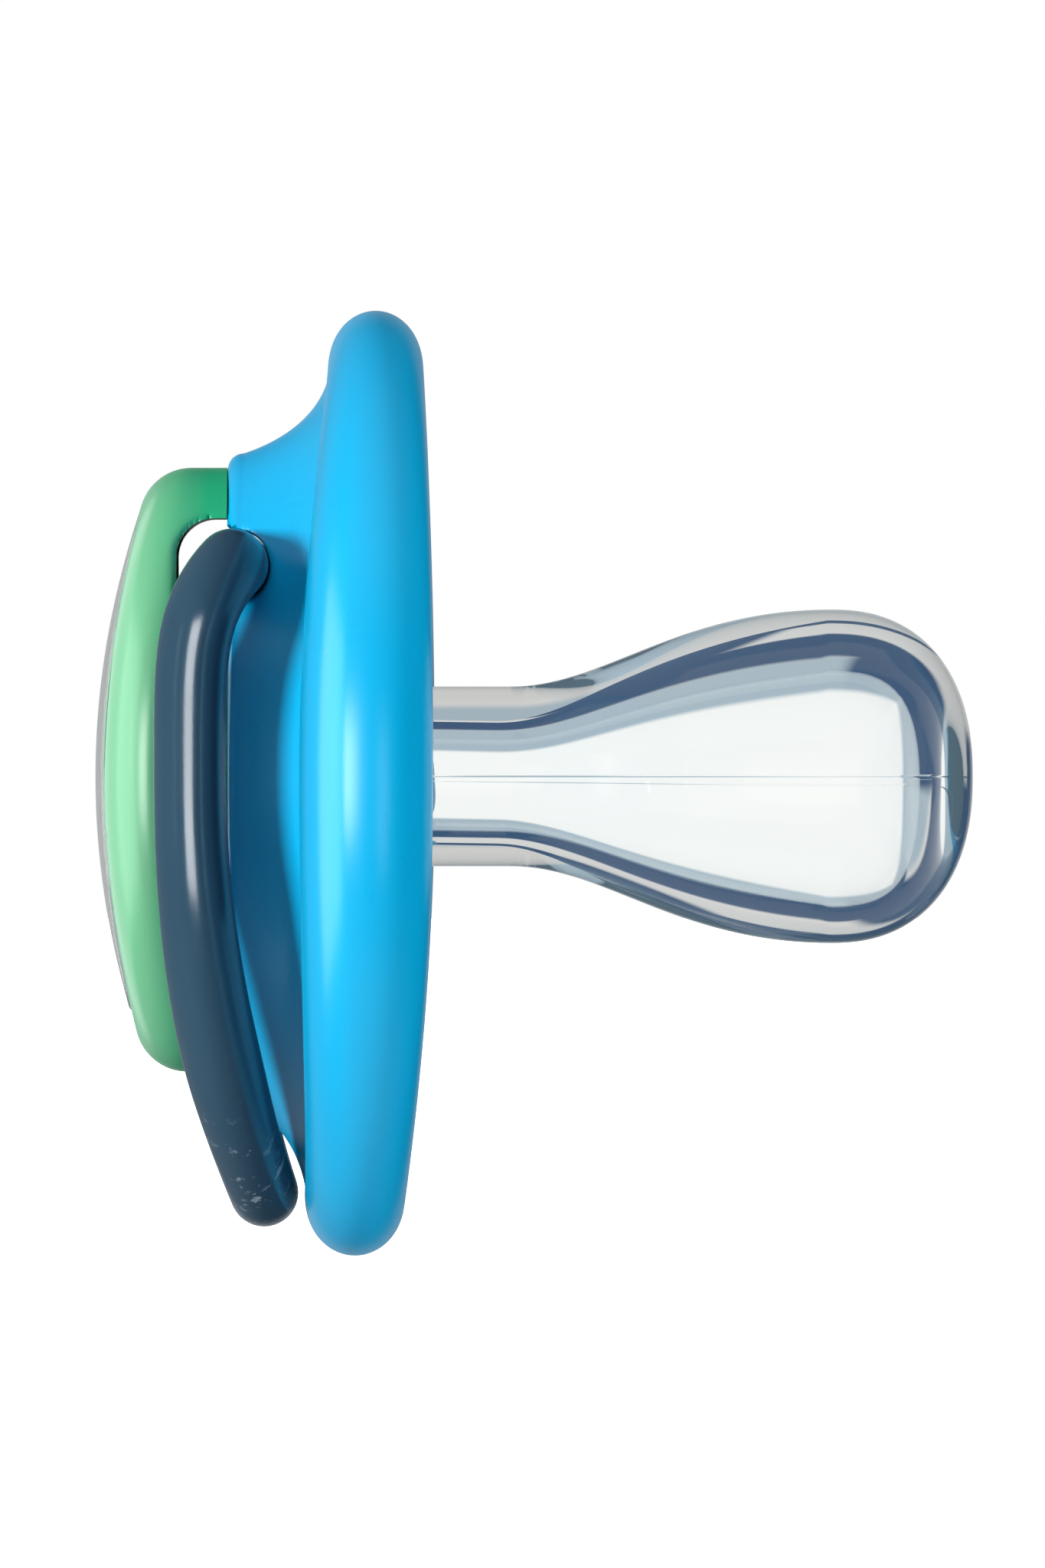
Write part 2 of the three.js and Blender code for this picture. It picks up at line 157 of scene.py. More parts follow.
KNOB_FRONT_X = -16.84
KNOB_CENTRE_Z = 0.33
KNOB_HALF_WIDTH = KNOB_BOX[1].y / MM
KNOB_HALF_HEIGHT = 15.02
KNOB_ROUNDNESS = 2.3
DOME_ACROSS = 130.0
DOME_ALONG = 39.5
KNOB_EDGE = 2.6
KNOB_WALL = 2.5
KNOB_TAPER = 1.5  # how far each side draws in from its widest place back to the hub
KNOB_WIDEST_X = -15.0
# painted light: between these two X places the knob's colour goes from a pale front, painted as if lit, to a
# deep green back, painted as if in shade
KNOB_PAINTED_LIT_X = -14.2
KNOB_PAINTED_SHADE_X = -11.2
POCKET_X = -13.2
COLLAR_RADIUS = 8.0
STEM_END_X = KNOB_BOX[1].x / MM - ORIGIN_X

WINDOW_CENTRE_Z = 1.0
WINDOW_HALF_WIDTH = 9.9
WINDOW_HALF_HEIGHT = 12.67
WINDOW_THICKNESS = 0.7
WINDOW_PROUD = 0.12
WINDOW_SEAT = 0.08
PRINT_THICKNESS = 0.2

TUNNEL_FRONT_X = -12.76
TUNNEL_TOP_Z = 12.8
TUNNEL_BOTTOM_Z = 8.3
TUNNEL_CORNER = 1.9
TUNNEL_LIP = 0.45

CAMERA_AIM_X = 4.40
CAMERA_AIM_Z = -0.38
CAMERA_DISTANCE = 2.40  # in metres, as is the next one
SHOWN_HEIGHT = 0.0780


# ---------------------------------------------------------------- small helpers


def lerp(a, b, t):
    return a + (b - a) * t


def smoothstep(t):
    t = np.clip(t, 0.0, 1.0)
    return t * t * (3 - 2 * t)


def smooth_max(a, b, blend):
    h = np.clip(0.5 + 0.5 * (a - b) / blend, 0.0, 1.0)
    return lerp(b, a, h) + blend * h * (1 - h)


def bezier(p0, p1, p2, p3, t):
    """Points of a cubic Bezier curve in the plane, one row for each value of t."""
    p0, p1, p2, p3 = (np.asarray(p, float) for p in (p0, p1, p2, p3))
    t = np.asarray(t, float)[:, None]
    s = 1 - t
    return s**3 * p0 + 3 * s * s * t * p1 + 3 * s * t * t * p2 + t**3 * p3


def superellipse_reach(angle, half_width, half_height, exponent):
    """Distance from the middle of a rounded outline to its edge; a bigger exponent makes it squarer."""
    across = abs(math.cos(angle) / half_width) ** exponent
    up = abs(math.sin(angle) / half_height) ** exponent
    return (across + up) ** (-1 / exponent)


def between(p, q, count):
    """Points from p, included, towards q, not included."""
    p, q = np.asarray(p, float), np.asarray(q, float)
    return p + (q - p) * np.linspace(0, 1, count, endpoint=False)[:, None]


def make_mesh(name, points, faces):
    """A smooth-shaded object from points in millimetres, measured from the design's own zero."""
    placed = (np.asarray(points, float) + (ORIGIN_X, 0, ORIGIN_Z)) * MM
    mesh = bpy.data.meshes.new(name)
    mesh.from_pydata(placed.tolist(), [], [list(map(int, f)) for f in faces])
    mesh.validate()
    mesh.update()
    obj = bpy.data.objects.new(name, mesh)
    bpy.context.scene.collection.objects.link(obj)
    merge_and_orient(obj)
    shade(obj, 40)
    return obj


def merge_and_orient(obj):
    bm = bmesh.new()
    bm.from_mesh(obj.data)
    bmesh.ops.remove_doubles(bm, verts=bm.verts, dist=1e-7)
    bmesh.ops.recalc_face_normals(bm, faces=bm.faces)
    bm.to_mesh(obj.data)
    bm.free()


def shade(obj, crease_angle):
    """Smooth shading, with a crease where faces meet at more than the given number of degrees."""
    obj.data.polygons.foreach_set("use_smooth", [True] * len(obj.data.polygons))
    bm = bmesh.new()
    bm.from_mesh(obj.data)
    for edge in bm.edges:
        edge.smooth = len(edge.link_faces) == 2 and edge.calc_face_angle(0) < math.radians(crease_angle)
    bm.to_mesh(obj.data)
    bm.free()


def sweep_round_x(name, profile_of, angles, is_loop, centre_z=0.0):
    """Sweeps an outline once round the X axis. `profile_of(angle)` gives rows of (distance, X)."""
    rows = []
    for angle in angles:
        profile = np.asarray(profile_of(angle), float)
        y = profile[:, 0] * math.cos(angle)
        z = profile[:, 0] * math.sin(angle) + centre_z
        rows.append(np.stack([profile[:, 1], y, z], axis=1))
    count, length = len(rows), len(rows[0])
    i = np.arange(count)[:, None] * length
    n = ((np.arange(count) + 1) % count)[:, None] * length
    j = np.arange(length if is_loop else length - 1)[None, :]
    k = (j + 1) % length
    faces = np.stack([i + j, i + k, n + k, n + j], axis=2).reshape(-1, 4)
    return make_mesh(name, np.concatenate(rows), faces)


def even_angles(count):
    return np.linspace(0, 2 * math.pi, count, endpoint=False)


def extrude_outline(name, outline, axis, low, high):
    """A prism: a closed outline of (a, b) points pushed from `low` to `high` along X or Y."""
    outline = np.asarray(outline, float)
    count = len(outline)
    ends = []
    for position in (low, high):
        held = np.full(count, position)
        if axis == "X":
            ends.append(np.stack([held, outline[:, 0], outline[:, 1]], axis=1))
        else:
            ends.append(np.stack([outline[:, 0], held, outline[:, 1]], axis=1))
    faces = [[i, (i + 1) % count, (i + 1) % count + count, i + count] for i in range(count)]
    faces += [list(range(count)), list(range(2 * count - 1, count - 1, -1))]
    return make_mesh(name, np.concatenate(ends), faces)


def cut(obj, cutter):
    """Takes the cutter out of the object and deletes the cutter."""
    modifier = obj.modifiers.new("cut", "BOOLEAN")
    modifier.operation = "DIFFERENCE"
    modifier.solver = "MANIFOLD"
    modifier.object = cutter
    with bpy.context.temp_override(object=obj, active_object=obj):
        bpy.ops.object.modifier_apply(modifier=modifier.name)
    bpy.data.objects.remove(cutter)


def finish_piece(obj, material, body, slot, *nodes):
    """Gives the piece its one material, puts it under its body and hides the named nodes of the solids;
    `slot` is not used.
    """
    obj.data.materials.clear()
    obj.data.materials.append(material)
    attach(obj, body)
    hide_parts(*nodes)


# ---------------------------------------------------------------- shield


def shield_reach(angle):
    """Distance from the teat's axis to the shield's edge."""
    half_height = SHIELD_ABOVE if math.sin(angle) > 0 else SHIELD_BELOW
    return superellipse_reach(angle, SHIELD_HALF_WIDTH, half_height, SHIELD_ROUNDNESS)


def vent_distance(y, z):
    """Distance in the shield's plane to the nearer air hole's edge, negative inside the hole."""
    y = np.abs(y)
    radius = np.hypot(y, z)
    angle = np.arctan2(z, y)
    end_y = VENT_RADIUS * math.cos(VENT_HALF_ANGLE)
    end_z = VENT_RADIUS * math.sin(VENT_HALF_ANGLE)
    to_arc = np.abs(radius - VENT_RADIUS)
    to_end = np.hypot(y - end_y, np.abs(z) - end_z)
    return np.where(np.abs(angle) < VENT_HALF_ANGLE, to_arc, to_end) - VENT_WIDTH / 2


def lip_drop(distance, radius):
    """How far a surface turns down by a hole's edge, as a quarter circle of the given radius."""
    d = np.clip(distance, 0.0, radius)
    return radius - np.sqrt(np.maximum(radius**2 - (radius - d) ** 2, 0.0))


def saddle_x(y, z):
    """X of the half-round groove in which the ring's bar turns, a little wider at its two ends."""
    radius = SADDLE_RADIUS + SADDLE_MOUTH * smoothstep((np.abs(y) - SADDLE_MOUTH_Y) / SADDLE_MOUTH_LENGTH)
    off = np.abs(z - PIVOT_Z)
    inside = PIVOT_X + np.sqrt(np.maximum(radius**2 - off**2, 0.0))
    return np.where(off < radius, inside, PIVOT_X - (off - radius) * 6)


def lip_side(angle, foot, front_x):
    """The dished side that faces the lips, from the bore out to the rim."""
    t = np.linspace(0, 1, 48)
    distance = lerp(LAND_RADIUS, foot, t)
    x = lerp(LAND_X, front_x, smoothstep(t))
    dish = np.stack([distance, x], axis=1)[1:]
    bore_edge = [
        (BORE_RADIUS, LAND_X - SMALL_EDGE),
        (BORE_RADIUS + 0.07, LAND_X - 0.07),
        (BORE_RADIUS + SMALL_EDGE, LAND_X),
    ]
    flat = between((BORE_RADIUS + 0.3, LAND_X), (LAND_RADIUS, LAND_X), 6)
    points = np.concatenate([bore_edge, flat, [(LAND_RADIUS, LAND_X)], dish])
    hole = vent_distance(points[:, 0] * math.cos(angle), points[:, 0] * math.sin(angle))
    points[:, 1] -= lip_drop(hole, VENT_LIP)
    return points


def rim_nose(foot, nose, front_x, back_x, widest):
    """The rounded rim; `widest` says where it reaches furthest, from -1 at its back to 1 at its front."""
    share = np.cos(math.pi * np.linspace(0, 1, 56)[1:-1])
    off = np.where(share > widest, (share - widest) / (1 - widest), (share - widest) / (1 + widest))
    distance = foot + nose * np.maximum(1 - off**2, 0.0) ** (NOSE_FULLNESS / 2)
    x = (front_x + back_x) / 2 + (front_x - back_x) / 2 * share
    return np.stack([distance, x], axis=1)


def knob_side(angle, foot, back_x, side_share):
    """The side that faces out: hollow behind the rim, flank, hub face and the saddle for the ring."""
    floor_reach = foot - 0.1 - RECESS_WIDTH * side_share
    floor_x = back_x + 0.05 + RECESS_DEPTH * side_share
    hub_reach = superellipse_reach(angle, HUB_HALF_WIDTH, HUB_HALF_HEIGHT, 2)
    corner_radius = lerp(HUB_CORNER_AT_ENDS, HUB_CORNER_AT_SIDES, side_share)
    run = floor_reach - hub_reach
    rise = floor_x - HUB_FACE_X
    t = np.linspace(0, 1, 22)[:-1]
    inner_wall = np.stack([lerp(foot, floor_reach, t), lerp(back_x, floor_x, smoothstep(t))], axis=1)
    flank = bezier(
        (hub_reach, HUB_FACE_X + corner_radius),
        (hub_reach + FLANK_NEAR_HUB[0] * run, HUB_FACE_X + FLANK_NEAR_HUB[1] * rise),
        (hub_reach + FLANK_NEAR_RIM[0] * run, HUB_FACE_X + FLANK_NEAR_RIM[1] * rise),
        (floor_reach, floor_x),
        np.linspace(1, 0, 60),
    )
    turn = np.linspace(0, math.pi / 2, 10)[1:]
    corner = np.stack(
        [hub_reach - corner_radius * (1 - np.cos(turn)), HUB_FACE_X + corner_radius * (1 - np.sin(turn))],
        axis=1,
    )
    face = between((hub_reach - corner_radius, HUB_FACE_X), (SOCKET_RADIUS, HUB_FACE_X), 50)[1:]
    points = np.concatenate([inner_wall, flank, corner, face])
    y = points[:, 0] * math.cos(angle)
    z = points[:, 0] * math.sin(angle)
    points[:, 1] = smooth_max(points[:, 1], saddle_x(y, z), 0.3)
    points[:, 1] += lip_drop(vent_distance(y, z), VENT_LIP)
    return points


def shield_profile(angle):
    """The shield's whole section in one direction, from the bore out round the rim and back."""
    side_share = math.cos(angle) ** 2
    nose = lerp(NOSE_AT_ENDS, NOSE_AT_SIDES, side_share)
    at_end = RIM_AT_TOP if math.sin(angle) > 0 else RIM_AT_BOTTOM
    thickness = lerp(at_end, RIM_AT_SIDES, side_share**1.5)
    foot = shield_reach(angle) - nose
    z = foot * math.sin(angle)
    front_x = -z * z / (2 * (RIM_TOP_BEND if z > 0 else RIM_BOTTOM_BEND))
    back_x = front_x - thickness
    socket = [(SOCKET_RADIUS, HUB_FACE_X), (SOCKET_RADIUS, SOCKET_FLOOR_X), (BORE_RADIUS, SOCKET_FLOOR_X)]
    return np.concatenate(
        [
            lip_side(angle, foot, front_x),
            rim_nose(foot, nose, front_x, back_x, NOSE_LEAN * side_share),
            knob_side(angle, foot, back_x, side_share),
            socket,
        ]
    )


def vent_outline(side):
    """One air hole's outline as (Y, Z) points; `side` is 1 or -1."""
    half = VENT_HALF_ANGLE
    outer = VENT_RADIUS + VENT_WIDTH / 2
    inner = VENT_RADIUS - VENT_WIDTH / 2
    centre = np.array([math.cos(half), math.sin(half)]) * VENT_RADIUS
    points = []
    for a in np.linspace(-half, half, 28):
        points.append((outer * math.cos(a), outer * math.sin(a)))
    for a in np.linspace(half, half + math.pi, 24)[1:-1]:
        points.append((centre[0] + VENT_WIDTH / 2 * math.cos(a), centre[1] + VENT_WIDTH / 2 * math.sin(a)))
    for a in np.linspace(half, -half, 24):
        points.append((inner * math.cos(a), inner * math.sin(a)))
    for a in np.linspace(math.pi - half, 2 * math.pi - half, 24)[1:-1]:
        points.append((centre[0] + VENT_WIDTH / 2 * math.cos(a), -centre[1] + VENT_WIDTH / 2 * math.sin(a)))
    return [(side * y, z) for y, z in points]


def make_shield():
    shield = sweep_round_x("shield_body", shield_profile, even_angles(360), True)
    for side in (1, -1):
        cut(shield, extrude_outline("vent_cutter", vent_outline(side), "X", -14, 2))
    shade(shield, 50)
    finish_piece(shield, shield_plastic(), "soother", "shield", "shield")


# ---------------------------------------------------------------- teat and plug


def bulb_wall(neck_radius, neck_end, lead_in, lead_out, bulb, tip_x, bluntness):
    """The wall from the end of the neck to the tip, as rows of (distance, X)."""
    rise = bezier(
        (neck_end, neck_radius), (lead_in, neck_radius), lead_out, bulb, np.linspace(0, 1, 70)
    )[:, ::-1]
    turn = math.pi / 2 * np.linspace(0, 1, 60)[1:]
    radius = bulb[1] * np.maximum(np.cos(turn), 0.0) ** (2 / bluntness)
    radius[-1] = 0.0
    x = bulb[0] + (tip_x - bulb[0]) * np.sin(turn) ** (2 / bluntness)
    return np.concatenate([rise, np.stack([radius, x], axis=1)])


def seam_angles():
    """Angles that are even all round and much closer beside the mould's parting line, in the plane Z = 0."""
    near = np.array([-0.03, -0.02, -0.013, -0.008, -0.004, 0.004, 0.008, 0.013, 0.02, 0.03])
    even = even_angles(144)
    even = np.array([a for a in even if min(abs(a), abs(a - math.pi), abs(a - 2 * math.pi)) > 0.035])
    return np.sort(np.concatenate([even, near % (2 * math.pi), near + math.pi, [0.0, math.pi]]))


def seam_height(angle):
    """The fine ridge of the parting line."""
    off = min(abs(angle), abs(angle - math.pi), abs(angle - 2 * math.pi))
    return SEAM_HEIGHT * math.exp(-((off / SEAM_HALF_ANGLE) ** 2))


def make_teat():
    """The hollow teat, open at its base, with a flange that sits in the hub's socket."""
    flange_front = SOCKET_FLOOR_X - 0.05
    flange_back = flange_front - FLANGE_THICKNESS
    flange_radius = SOCKET_RADIUS - 0.15
    outer = bulb_wall(
        TEAT_NECK_RADIUS, TEAT_NECK_END_X, TEAT_LEAD_IN_X, TEAT_LEAD_OUT, TEAT_BULB, TIP_X, TEAT_BLUNTNESS
    )[::-1]
    inner = bulb_wall(
        HOLLOW_NECK_RADIUS, HOLLOW_NECK_END_X, HOLLOW_LEAD_IN_X, HOLLOW_LEAD_OUT, HOLLOW_BULB,
        HOLLOW_TIP_X, HOLLOW_BLUNTNESS,
    )

    def profile(angle):
        skin = outer.copy()
        skin[:, 0] += seam_height(angle) * np.clip(skin[:, 0] / 2, 0, 1)
        neck = between(skin[-1], (TEAT_NECK_RADIUS, flange_front), 20)[1:]
        flange = [
            (TEAT_NECK_RADIUS, flange_front), (flange_radius, flange_front),
            (flange_radius, flange_back), (HOLLOW_NECK_RADIUS, flange_back),
        ]
        throat = between((HOLLOW_NECK_RADIUS, flange_back), inner[0], 24)[1:]
        hollow = np.concatenate([throat, inner])
        # the hollow sits a little low, as a core pin that sags leaves it
        sag = np.interp(hollow[:, 1], (0.0, 19.0), HOLLOW_SAG) * math.sin(angle)
        hollow[:, 0] = np.maximum(hollow[:, 0] - sag * np.clip(hollow[:, 0], 0, 1), 0)
        return np.concatenate([skin, neck, flange, hollow])

    teat = sweep_round_x("teat_silicone", profile, seam_angles(), False)
    finish_piece(teat, silicone(), "soother", "teat", "teat")


def make_plug():
    """The disc behind the teat's flange, with a hollowed back and a spigot in the teat's neck."""
    front = SOCKET_FLOOR_X - 1.7
    back = front - PLUG_THICKNESS
    end = LAND_X - 0.2
    edge = 0.2
    profile = [
        (0, back), (1.2, back), (1.4, back + 0.5), (5.8, back + 0.5), (6.0, back),
        (PLUG_RADIUS - edge, back), (PLUG_RADIUS, back + edge),
        (PLUG_RADIUS, front - edge), (PLUG_RADIUS - edge, front),
        (SPIGOT_RADIUS + edge, front), (SPIGOT_RADIUS, front + edge),
        (SPIGOT_RADIUS, end - 0.4), (SPIGOT_RADIUS - 0.3, end), (0, end),
    ]
    plug = sweep_round_x("plug_disc", lambda angle: profile, even_angles(96), False)
    finish_piece(plug, plug_plastic(), "soother", "plug", "teat_plug")


# ---------------------------------------------------------------- knob, print and window


def dome_x(y, z):
    """X of the domed front that the window, the print and the knob share."""
    return KNOB_FRONT_X + y**2 / (2 * DOME_ACROSS) + z**2 / (2 * DOME_ALONG)


def on_dome(distance, angle, centre_z):
    """X of the dome at a distance and direction from a centre at height `centre_z`."""
    return dome_x(distance * math.cos(angle), distance * math.sin(angle) + centre_z)


def window_reach(angle, centre_z):
    """The window's edge in direction `angle` from a centre at height `centre_z`."""
    reach = superellipse_reach(angle, WINDOW_HALF_WIDTH, WINDOW_HALF_HEIGHT, KNOB_ROUNDNESS)
    lift = WINDOW_CENTRE_Z - centre_z
    return reach + lift * math.sin(angle)


def tunnel_distance(x, z):
    """Distance in the XZ plane to the tunnel's outline, negative inside it."""
    corner_x = TUNNEL_FRONT_X + TUNNEL_CORNER
    top_z = TUNNEL_TOP_Z - TUNNEL_CORNER
    dx = np.maximum(corner_x - x, 0.0)
    dz = np.maximum(z - top_z, 0.0)
    rounded = np.hypot(dx, dz) - TUNNEL_CORNER
    return np.maximum(rounded, TUNNEL_BOTTOM_Z - z)


def knob_draw_in(angle, x):
    """How much narrower the knob's side is at X than at its widest place."""
    share = np.clip((x - KNOB_WIDEST_X) / (HUB_FACE_X - KNOB_WIDEST_X), 0.0, 1.0)
    return KNOB_TAPER * np.cos(angle) ** 2 * share**1.3


def knob_profile(angle):
    """The knob's section: stem, hollow back, side, rounded edge and the window's seat."""
    reach = superellipse_reach(angle, KNOB_HALF_WIDTH, KNOB_HALF_HEIGHT, KNOB_ROUNDNESS)
    inner = reach - KNOB_WALL
    back = HUB_FACE_X - 0.02
    stem = [
        (0, STEM_END_X), (SOCKET_RADIUS - 0.3, STEM_END_X), (SOCKET_RADIUS - 0.1, back),
        (COLLAR_RADIUS, back), (COLLAR_RADIUS, POCKET_X), (inner, POCKET_X), (inner - 0.8, back),
    ]
    flat = reach - KNOB_EDGE
    side_x = on_dome(flat, angle, KNOB_CENTRE_Z) + WINDOW_PROUD + KNOB_EDGE
    side = between((reach, back), (reach, side_x), 40)
    side[:, 0] -= knob_draw_in(angle, side[:, 1])
    turn = np.linspace(0, math.pi / 2, 22)
    edge = np.stack([flat + KNOB_EDGE * np.cos(turn), side_x - KNOB_EDGE * np.sin(turn)], axis=1)
    edge[:, 0] -= knob_draw_in(angle, edge[:, 1])
    seat = window_reach(angle, KNOB_CENTRE_Z) + WINDOW_SEAT
    front = np.linspace(flat, seat + 0.12, 8)[1:]
    front = np.stack([front, on_dome(front, angle, KNOB_CENTRE_Z) + WINDOW_PROUD], axis=1)
    floor = WINDOW_THICKNESS + PRINT_THICKNESS + 2 * WINDOW_SEAT
    inward = np.linspace(seat, 0, 10)
    bottom = np.stack([inward, on_dome(inward, angle, KNOB_CENTRE_Z) + floor], axis=1)
    seat_edge = [(seat + 0.03, on_dome(seat, angle, KNOB_CENTRE_Z) + WINDOW_PROUD + 0.03)]
    return np.concatenate([stem, side, edge, front, seat_edge, bottom])


def round_tunnel_mouths(knob):
    """Turns the knob's side walls in, all round the two mouths of the tunnel."""
    count = len(knob.data.vertices)
    co = np.empty(count * 3)
    knob.data.vertices.foreach_get("co", co)
    co = co.reshape(-1, 3) / MM - (ORIGIN_X, 0, ORIGIN_Z)
    centred = co[:, 2] - KNOB_CENTRE_Z
    distance = np.hypot(co[:, 1], centred)
    angle = np.arctan2(centred, co[:, 1])
    reach = np.array([
        superellipse_reach(a, KNOB_HALF_WIDTH, KNOB_HALF_HEIGHT, KNOB_ROUNDNESS) for a in angle
    ])
    reach -= knob_draw_in(angle, co[:, 0])
    on_side = smoothstep((distance - (reach - 1.2)) / 0.8)
    drop = lip_drop(np.abs(tunnel_distance(co[:, 0], co[:, 2])), TUNNEL_LIP) * on_side
    drop = np.minimum(drop, distance * 0.5)
    co[:, 1] -= drop * np.sign(co[:, 1])
    placed = (co + (ORIGIN_X, 0, ORIGIN_Z)) * MM
    knob.data.vertices.foreach_set("co", placed.ravel())
    knob.data.update()


def tunnel_outline():
    """The tunnel's outline as (X, Z) points, open past the knob's back."""
    back = HUB_FACE_X + 1.0
    centre = (TUNNEL_FRONT_X + TUNNEL_CORNER, TUNNEL_TOP_Z - TUNNEL_CORNER)
    points = [(back, TUNNEL_BOTTOM_Z), (back, TUNNEL_TOP_Z)]
    for a in np.linspace(math.pi / 2, math.pi, 24):
        points.append((centre[0] + TUNNEL_CORNER * math.cos(a), centre[1] + TUNNEL_CORNER * math.sin(a)))
    points.append((TUNNEL_FRONT_X, TUNNEL_BOTTOM_Z))
    return points


def make_knob():
    knob = sweep_round_x("knob_cap", knob_profile, even_angles(320), False, KNOB_CENTRE_Z)
    round_tunnel_mouths(knob)
    reach = KNOB_HALF_WIDTH + 2
    cut(knob, extrude_outline("tunnel_cutter", tunnel_outline(), "Y", -reach, reach))
    shade(knob, 50)
    finish_piece(knob, knob_plastic(), "soother", "knob", "knob")


def domed_slab(name, inset, front, back, edge, centre_z):
    """A slab that follows the knob's dome, with its two edges rounded."""

    def profile(angle):
        reach = superellipse_reach(
            angle, WINDOW_HALF_WIDTH - inset, WINDOW_HALF_HEIGHT - inset, KNOB_ROUNDNESS
        )
        out = np.linspace(0, reach - edge, 24)
        behind = np.stack([out, on_dome(out, angle, centre_z) + back], axis=1)
        ahead = np.stack([out, on_dome(out, angle, centre_z) + front], axis=1)[::-1]
        rim_x = on_dome(reach - edge, angle, centre_z)
        turn = np.linspace(0, math.pi / 2, 8)[1:]
        rim = reach - edge + edge * np.sin(turn)
        fall = edge * (1 - np.cos(turn))
        low = np.stack([rim, rim_x + back - fall], axis=1)
        high = np.stack([rim, rim_x + front + fall], axis=1)
        return np.concatenate([behind, low, high[::-1], ahead])

    return sweep_round_x(name, profile, even_angles(256), False, centre_z)


def make_window():
    window = domed_slab("window_pane", 0.0, 0.0, WINDOW_THICKNESS, 0.28, WINDOW_CENTRE_Z)
    finish_piece(window, window_plastic(), "soother", "window", "knob_window")


def make_print():
    front = WINDOW_THICKNESS + WINDOW_SEAT
    sheet = domed_slab("print_sheet", 0.35, front, front + PRINT_THICKNESS, 0.08, WINDOW_CENTRE_Z)
    finish_piece(sheet, printed_film(), "soother", "print", "print_disc")


# ---------------------------------------------------------------- ring handle


def ring_x(z):
    """X of the ring's centre line at height z."""
    below = (RING_BOTTOM_X - RING_ARM_X) * abs(z / RING_BOTTOM_Z) ** RING_LOWER_BOW
    above = (PIVOT_X - RING_ARM_X) * abs(z / PIVOT_Z) ** RING_UPPER_BOW
    return RING_ARM_X + (below if z < 0 else above)


def ring_half_line():
    """The ring's centre line from the middle of its bar round to the middle of its bottom, as (Y, Z)."""
    arm_y = RING_BAR_HALF + RING_CORNER
    corner_z = PIVOT_Z - RING_CORNER
    bar = between((0, PIVOT_Z), (RING_BAR_HALF, PIVOT_Z), 16)
    turn = np.linspace(math.pi / 2, 0, 22, endpoint=False)
    corner = np.stack(
        [RING_BAR_HALF + RING_CORNER * np.cos(turn), corner_z + RING_CORNER * np.sin(turn)], axis=1
    )
    arm = between((arm_y, corner_z), (arm_y, RING_ARCH_TOP_Z), 24)
    turn = np.linspace(0, -math.pi / 2, 61)
    arch = np.stack(
        [arm_y * np.cos(turn), RING_ARCH_TOP_Z + (RING_ARCH_TOP_Z - RING_BOTTOM_Z) * np.sin(turn)], axis=1
    )
    return np.concatenate([bar, corner, arm, arch])


def make_ring():
    """A round bar swept along the ring's centre line."""
    half = ring_half_line()
    other = half[1:-1][::-1] * (-1, 1)
    line = np.concatenate([half, other])
    centre = np.array([[ring_x(z), y, z] for y, z in line])
    along = np.roll(centre, -1, axis=0) - np.roll(centre, 1, axis=0)
    along /= np.linalg.norm(along, axis=1)[:, None]
    u = np.cross(along, (1.0, 0.0, 0.0))
    u /= np.linalg.norm(u, axis=1)[:, None]
    v = np.cross(along, u)
    low = smoothstep(centre[:, 2] / RING_LOW_Z)
    end = smoothstep((centre[:, 2] - RING_LOW_Z) / (RING_BOTTOM_Z - RING_LOW_Z))
    radius = lerp(lerp(RING_RADIUS, RING_LOW_RADIUS, low), RING_BOTTOM_RADIUS, end)
    sides = even_angles(40)
    points = (
        centre[:, None, :]
        + radius[:, None, None] * np.cos(sides)[None, :, None] * u[:, None, :]
        + radius[:, None, None] * np.sin(sides)[None, :, None] * v[:, None, :]
    )
    count, ring_sides = len(centre), len(sides)
    i = np.arange(count)[:, None] * ring_sides
    n = ((np.arange(count) + 1) % count)[:, None] * ring_sides
    j = np.arange(ring_sides)[None, :]
    k = (j + 1) % ring_sides
    faces = np.stack([i + j, i + k, n + k, n + j], axis=2).reshape(-1, 4)
    ring = make_mesh("ring_bar", points.reshape(-1, 3), faces)
    finish_piece(ring, ring_plastic(), "ring", "ring", "ring_handle")


# ---------------------------------------------------------------- materials


